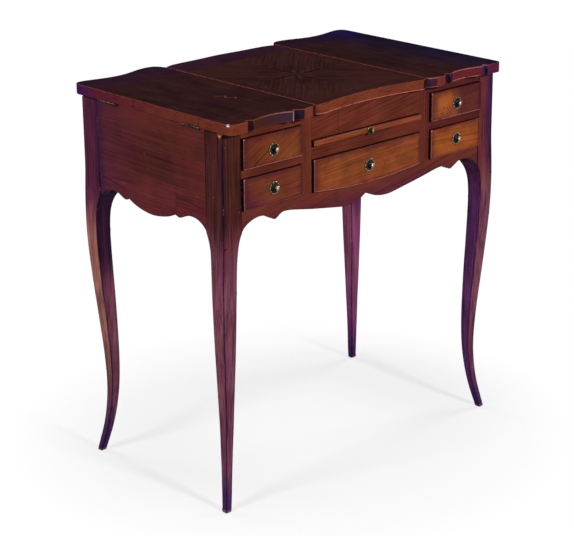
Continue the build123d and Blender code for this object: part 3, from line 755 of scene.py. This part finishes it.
def lid_paint(sign):
    def paint(g, xyz, col, v):
        x, y, z = xyz
        if sign < 0:
            # A wiggly scratch in the polish of the left lid.
            w = g.mul(g.math("SINE", g.mul(y, 300.0)), 0.0062)
            line = g.add(-0.2245, w, g.mul(g.add(y, 0.063), -0.30))
            d = g.dist(x, line)
            n = g.noise(v, 260.0, 2.0)
            f = g.mul(g.step(d, 0.0019, 0.0006),
                      g.step(g.dist(y, -0.066), 0.0200, 0.0170),
                      g.step(n, 0.34, 0.44))
            col = g.mix(g.mul(f, 0.80), col, lin(138, 90, 66))
            # Painted highlight: a white glint on the front corner.
            dx = g.dist(x, -0.3555)
            dy = g.dist(y, -0.2200)
            r = g.math("SQRT", g.add(g.mul(dx, dx), g.mul(dy, dy)))
            f = g.step(g.add(r, g.mul(g.sub(n, 0.5), 0.003)), 0.0036, 0.0018)
            corner_glint = g.mul(f, g.step(z, 0.7455, 0.7475))
        # Rubbed lighter towards the front.
        f = g.step(y, -0.08, -0.22)
        col = g.scale(g.mul(f, 0.6), col, (1.15, 1.12, 0.85))
        # Cooler and bluer at the right end: a painted violet sheen.
        f = g.step(x, 0.20, 0.36)
        col = g.scale(g.mul(f, 0.9), col, (0.30, 0.62, 3.0))
        col = violet_sheen(g, xyz, col, v)
        col = top_shade(g, xyz, col, v)
        if sign < 0:
            col = g.mix(g.mul(corner_glint, 0.95), col, (0.85, 0.82, 0.80))
        return col
    return paint


def flap_coords(g, obj):
    """Four quarters of veneer, the grain of each running to the star."""
    x, y, z = g.split(obj)
    ax = g.dist(x, STAR[0])
    ay = g.dist(y, STAR[1])
    a = g.mul(g.add(ax, ay), 0.7071)
    b = g.mul(g.sub(ax, ay), 0.7071)
    inner = g.mul(g.step(g.dist(x, 0.0), 0.1312, 0.1310),
                  g.step(y, 0.1480, 0.1478), g.step(y, -0.1902, -0.1900))
    band = g.combine(x, g.add(y, 0.7), z)
    quarter = g.combine(a, b, z)
    n = g.nt.nodes.new("ShaderNodeMix")
    n.data_type = "VECTOR"
    g.put(n.inputs[0], inner)
    g.put(n.inputs[4], band)
    g.put(n.inputs[5], quarter)
    return n.outputs[1]


def flap_paint(g, xyz, col, v):
    x, y, z = xyz
    dx = g.sub(x, STAR[0])
    dy = g.sub(y, STAR[1])
    r = g.math("SQRT", g.add(g.mul(dx, dx), g.mul(dy, dy)))
    ang = g.math("ARCTAN2", dy, dx)
    # Border round the quarters, its seam a thin dark line.
    inner = g.mul(g.step(g.dist(x, 0.0), 0.1312, 0.1310),
                  g.step(y, 0.1480, 0.1478), g.step(y, -0.1902, -0.1900))
    col = g.scale(g.math("SUBTRACT", 1.0, inner), col, (0.80, 0.80, 0.95))
    sx = g.mul(g.step(g.dist(g.dist(x, 0.0), 0.1311), 0.0008, 0.0003),
               g.step(y, 0.1485, 0.1480), g.step(y, -0.1907, -0.1900))
    sy = g.high(g.step(g.dist(y, 0.1479), 0.0008, 0.0003),
                g.step(g.dist(y, -0.1901), 0.0008, 0.0003))
    sy = g.mul(sy, g.step(g.dist(x, 0.0), 0.1316, 0.1311))
    q = g.high(g.step(g.dist(x, STAR[0]), 0.0006, 0.0002),
               g.step(g.dist(y, STAR[1]), 0.0006, 0.0002))
    seam = g.high(sx, sy, g.mul(q, inner, 0.6))
    col = g.mix(g.mul(seam, 0.7), col, lin(28, 13, 11))
    # Compass star, eight points, each split into a light and a dark half.
    star = None
    shade = None
    for turn, length, width in ((-0.14, 0.086, 0.30), (0.645, 0.062, 0.26)):
        # a is the angle from the middle of the nearest point, 0..pi/4
        a = g.math("PINGPONG", g.add(ang, turn + 2 * math.pi), math.pi / 4)
        edge = g.mul(g.math("SINE", a), r)
        along = g.mul(g.math("COSINE", a), r)
        wid = g.mul(g.sub(length, along), width * 0.78)
        near = g.mul(along, 0.4142)
        m = g.step(g.sub(g.low(wid, near), edge), 0.0, 0.0006)
        half = g.math("SINE", g.mul(g.add(ang, turn), 4.0))
        h = g.step(half, -0.02, 0.02)
        if star is None:
            star, shade = m, h
        else:
            keep = g.math("SUBTRACT", 1.0, star)
            shade = g.add(g.mul(shade, star), g.mul(h, keep))
            star = g.high(star, m)
    light = g.scale(1.0, col, (1.55, 1.42, 1.30))
    dark = g.scale(1.0, col, (0.38, 0.38, 0.42))
    scol = g.mix(shade, dark, light)
    worn = g.add(0.55, g.mul(g.noise(v, 60.0, 3.0), 0.45))
    col = g.mix(g.mul(star, worn), col, scol)
    # The front of the flap is rubbed orange by hands.
    n = g.noise(v, 14.0, 3.0)
    f = g.step(g.add(y, g.mul(g.sub(n, 0.5), 0.08)), -0.11, -0.24)
    col = g.mix(g.mul(f, 0.34), col, lin(58, 32, 24))
    col = violet_sheen(g, xyz, col, v, 0.158)
    return top_shade(g, xyz, col, v, along_x=True)


TOP_KW = dict(rough=0.60, coat=0.0, spec=0.008,
              worn_col=lin(138, 74, 54), cloud=0.9, worn=1.05)
for n, s in (("lid_left", -1), ("lid_right", 1)):
    timber(n, "Y", C_TOP, width=0.0008, extra=lid_paint(s),
           arris_mask=top_mask(), figure=0.25, streak=0.75, hair=0.5,
           blotch=0.45, **TOP_KW)
timber("centre_flap", "X", times(C_TOP, (1.62, 1.52, 1.25)), width=0.0008,
       extra=flap_paint, coords=flap_coords, figure=0.22,
       arris_mask=top_mask(), fig_scale=12.0, fig_lines=60.0, streak=0.6,
       hair=0.6, blotch=0.4, **TOP_KW)
timber("mirror_beading", "X", times(C_TOP, 1.3), width=0.0010, worn=0.3)

# --------------------------------------------------------------- interiors
IN_KW = dict(coat=0.0, rough=0.68, spec=0.1, figure=0.4, blotch=0.25,
             light=1.2, dark=0.6, pore=0.3, cloud=0.6,
             worn_col=lin(206, 178, 136))


def grime_and_front_shade(node, axis=2):
    """Handling grime along the upper edge; almost black at the front end, a
    painted shade in the gap behind the front.
    """
    lo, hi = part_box(node)

    def paint(g, xyz, col, v):
        n = g.noise(v, 25.0, 3.0)
        f = g.step(g.add(g.sub(hi[axis], xyz[axis]),
                         g.mul(g.sub(n, 0.5), 0.01)), 0.010, 0.001)
        col = g.mix(g.mul(f, 0.5), col, lin(92, 62, 40))
        # Painted shade: almost black at the front end.
        f = g.step(xyz[1], FACADE + 0.0090, FACADE + 0.0050)
        return g.mix(g.mul(f, 0.9), col, lin(34, 20, 18))
    return paint


timber(("partition_left", "partition_right"), "Y", C_INNER,
       extra=grime_and_front_shade("partition_left"), **IN_KW)
timber(("well_floor_left", "well_floor_right", "centre_floor"), "Y",
       times(C_INNER, 0.9), **IN_KW)
timber(("carcass_bottom", "guides_and_bearers"), "Y", times(C_INNER, 0.8),
       **IN_KW)
for d in ("left", "right", "centre"):
    timber("drawer_%s_sides" % d, "Y", C_INNER,
           extra=grime_and_front_shade("drawer_%s_sides" % d), **IN_KW)
    timber("drawer_%s_back" % d, "X", C_INNER,
           extra=grime_and_front_shade("drawer_%s_back" % d), **IN_KW)
    timber("drawer_%s_bottom" % d, "X", times(C_INNER, 0.92), **IN_KW)


# ------------------------------------------------------------------- brass
KNOB_X, KNOB_UP, KNOB_LO, KNOB_C = 0.24265, 0.6836, 0.61195, 0.6063


def brass(name, bright, dull, rough=0.32, grime=0.5, dish=False,
          shade_left=0.0, metal=1.0):
    g = Graph(name)
    tc = g.node("ShaderNodeTexCoord")
    v = tc.outputs["Object"]
    n1 = g.noise(v, 420.0, 4.0, 0.6)
    n2 = g.noise(v, 95.0, 3.0, 0.55)
    f = g.step(g.add(g.mul(n1, 0.5), g.mul(n2, 0.5)), 0.42, 0.62)
    col = g.mix(g.mul(f, grime), bright, dull)
    r = g.add(rough, g.mul(f, 0.22))
    if dish:
        # Black in the hollow and between the beads: tarnish, partly a painted
        # shade.
        x, y, z = g.split(v)
        up = g.step(z, 0.645, 0.650)
        mid = g.step(g.math("ABSOLUTE", x), 0.100, 0.090)
        cx = g.mul(g.sub(1.0, mid), KNOB_X)
        cz = g.add(g.mul(up, KNOB_UP), g.mul(g.sub(1.0, up), KNOB_LO),
                   g.mul(mid, KNOB_C - KNOB_LO))
        dx = g.sub(g.math("ABSOLUTE", x), cx)
        dx = g.mix(mid, g.combine(dx, dx, dx), g.combine(x, x, x))
        dx = g.split(dx)[0]
        dz = g.sub(z, cz)
        rad = g.math("SQRT", g.add(g.mul(dx, dx), g.mul(dz, dz)))
        d = g.high(g.step(rad, 0.01000, 0.00960),
                   g.step(y, FACE - 0.0011, FACE - 0.0008))
        # Every other bead is painted dark, leaving a dotted ring: painted shade
        # and glints.
        a = g.math("SINE", g.mul(g.math("ARCTAN2", dz, dx), 11.0))
        d = g.high(d, g.mul(g.step(a, 0.25, -0.25), 0.75))
        col = g.mix(g.mul(d, 0.95), col, lin(18, 20, 26))
        r = g.add(r, g.mul(d, 0.25))
    if shade_left:
        # Painted shade: the side turned from the lamp is painted almost black.
        nx, ny, nz = g.split(tc.outputs["Normal"])
        d = g.step(g.sub(g.mul(nx, 0.73), g.mul(ny, 0.68)), 0.14, -0.12)
        col = g.mix(g.mul(d, shade_left), col, lin(14, 18, 28))
    nrm = g.bump(g.add(n1, n2), 0.25, 0.0002)
    return g.finish(col, r, nrm, metallic=metal, spec=0.5)


KNOB = brass("knob_brass", lin(206, 196, 160), lin(128, 118, 92), 0.24, 0.5,
             shade_left=0.96, metal=0.55)
ROSE = brass("rosette_brass", lin(206, 196, 160), lin(70, 68, 54), 0.36,
             0.75, dish=True, metal=0.7)
SLIDE = brass("slide_knob_brass", lin(150, 138, 98), lin(84, 78, 52), 0.32,
              0.8, shade_left=0.9, metal=0.8)
HINGE = brass("hinge_brass", lin(92, 84, 58), lin(22, 24, 24), 0.45, 0.95)
STEEL = brass("screw_brass", lin(150, 122, 70), lin(50, 44, 32), 0.42, 0.7)
for n in ("false_front_knobs", "drawer_left_knob", "drawer_right_knob",
          "drawer_centre_knob", "slide_knob"):
    assign(n, SLIDE if n == "slide_knob" else KNOB, width=0)
for n in ("false_front_rosettes", "drawer_left_rosette",
          "drawer_right_rosette", "drawer_centre_rosette"):
    assign(n, ROSE, width=0)
for n in ("carcass_hinge_leaves", "lid_left_hinge_leaves",
          "lid_right_hinge_leaves", "flap_hinge_leaves"):
    assign(n, HINGE, width=0.00015)
for n in ("carcass_hinge_screws", "lid_left_hinge_screws",
          "lid_right_hinge_screws", "flap_hinge_screws", "hinge_pins"):
    assign(n, STEEL, width=0)


# ------------------------------------------------------------------ mirror
def mirror():
    g = Graph("mirror_silvering")
    tc = g.node("ShaderNodeTexCoord")
    v = tc.outputs["Object"]
    n = g.noise(v, 120.0, 5.0, 0.7)
    x, y, z = g.split(v)
    lo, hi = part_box("mirror_glass")
    d = g.low(g.sub(x, lo.x), g.sub(hi.x, x), g.sub(y, lo.y),
              g.sub(hi.y, y))
    edge = g.step(d, 0.022, 0.002)
    f = g.mul(g.step(n, 0.56, 0.68), edge)
    spot = g.mul(g.step(g.noise(v, 210.0, 2.0), 0.72, 0.76), 0.7)
    f = g.high(f, spot)
    col = g.mix(f, lin(214, 218, 216), lin(86, 78, 66))
    r = g.add(0.03, g.mul(f, 0.4))
    return g.finish(col, r, metallic=1.0)


assign("mirror_glass", mirror(), width=0.0005)


# ------------------------------------------------------------------- stage
def floor():
    me = bpy.data.meshes.new("floor")
    bm = bmesh.new()
    bmesh.ops.create_grid(bm, x_segments=2, y_segments=2, size=30.0)
    bm.to_mesh(me)
    bm.free()
    ob = bpy.data.objects.new("floor", me)
    ob.location = (0, 0, -0.0002)
    ob.visible_diffuse = False
    ob.visible_glossy = False
    scene.collection.objects.link(ob)
    g = Graph("floor_paper")
    tc = g.node("ShaderNodeTexCoord")
    x, y, z = g.split(tc.outputs["Object"])
    r = g.math("SQRT", g.add(g.mul(x, x), g.mul(y, y)))
    # The paper glows less near the table, a painted shade round it, and white
    # further off.
    far = g.step(r, 0.26, 0.66)
    k = g.mul(g.sub(1.0, far), 0.34)
    d = g.node("ShaderNodeBsdfDiffuse", {
        "Color": g.combine(g.mul(k, 0.94), g.mul(k, 1.06), g.mul(k, 1.08))})
    e = g.node("ShaderNodeEmission", {"Color": (1.0, 1.0, 1.0)})
    # Painted pool of light in the middle under the table.
    bright = g.step(r, 0.30, 0.05)
    g.put(e.inputs["Strength"], g.add(0.575, g.mul(far, 0.435),
                                      g.mul(bright, 0.022)))
    a = g.node("ShaderNodeAddShader")
    g.nt.links.new(d.outputs[0], a.inputs[0])
    g.nt.links.new(e.outputs[0], a.inputs[1])
    g.nt.links.new(a.outputs[0], g.out.inputs[0])
    me.materials.append(g.mat)


def backdrop():
    """White paper all round, far off, only for the camera to see."""
    me = bpy.data.meshes.new("backdrop")
    bm = bmesh.new()
    bmesh.ops.create_cone(bm, cap_ends=False, segments=96, radius1=26.0,
                          radius2=26.0, depth=30.0)
    bm.to_mesh(me)
    bm.free()
    ob = bpy.data.objects.new("backdrop", me)
    ob.visible_diffuse = False
    ob.visible_glossy = False
    ob.visible_shadow = False
    scene.collection.objects.link(ob)
    g = Graph("backdrop_paper")
    e = g.node("ShaderNodeEmission", {"Color": (1.0, 1.0, 1.0)})
    g.put(e.inputs["Strength"], 1.01)
    g.nt.links.new(e.outputs[0], g.out.inputs[0])
    me.materials.append(g.mat)


floor()
backdrop()


def area(name, azimuth, elevation, dist, size, power, color):
    """Area light aimed at the table; azimuth 0 is +X, 90 is +Y."""
    a, e = math.radians(azimuth), math.radians(elevation)
    aim = Vector((0, 0, 0.42))
    loc = aim + dist * Vector((math.cos(a) * math.cos(e),
                               math.sin(a) * math.cos(e), math.sin(e)))
    l = bpy.data.lights.new(name, "AREA")
    l.shape = "RECTANGLE"
    l.size, l.size_y = size
    l.energy = power
    l.color = color
    ob = bpy.data.objects.new(name, l)
    ob.location = loc
    ob.rotation_euler = (aim - loc).to_track_quat("-Z", "Y").to_euler()
    ob.visible_camera = False
    scene.collection.objects.link(ob)
    return ob


area("front", -90, 27, 3.6, (0.45, 0.45), 92, (1.0, 0.90, 0.80))
area("left", 180, 37, 3.5, (0.8, 0.8), 66, (1.0, 0.86, 0.86))
area("right", -8, 38, 3.6, (1.3, 1.3), 50, (0.92, 0.82, 0.92))
area("back", 100, 36, 3.9, (1.6, 1.6), 50, (0.98, 0.88, 0.92))

w = bpy.data.worlds.new("world")
scene.world = w
w.use_nodes = True
nt = w.node_tree
bg = nt.nodes["Background"]
tc = nt.nodes.new("ShaderNodeTexCoord")
sep = nt.nodes.new("ShaderNodeSeparateXYZ")
ramp = nt.nodes.new("ShaderNodeValToRGB")
mr = nt.nodes.new("ShaderNodeMapRange")
mr.inputs["From Min"].default_value = -1.0
mr.inputs["From Max"].default_value = 1.0
nt.links.new(tc.outputs["Generated"], sep.inputs[0])
nt.links.new(sep.outputs[2], mr.inputs[0])
nt.links.new(mr.outputs[0], ramp.inputs[0])
# Light bounced off the paper is violet; what gloss reflects is a grey room.
path = nt.nodes.new("ShaderNodeLightPath")
room = nt.nodes.new("ShaderNodeMix")
room.data_type = "RGBA"
room.inputs[7].default_value = (1.25, 1.22, 1.30, 1.0)
nt.links.new(path.outputs["Is Glossy Ray"], room.inputs[0])
nt.links.new(ramp.outputs[0], room.inputs[6])
nt.links.new(room.outputs[2], bg.inputs[0])
ramp.color_ramp.elements[0].position = 0.42
ramp.color_ramp.elements[0].color = (0.95, 0.72, 2.30, 1.0)
ramp.color_ramp.elements[1].position = 0.60
ramp.color_ramp.elements[1].color = (0.20, 0.15, 0.20, 1.0)
bg.inputs[1].default_value = 0.20
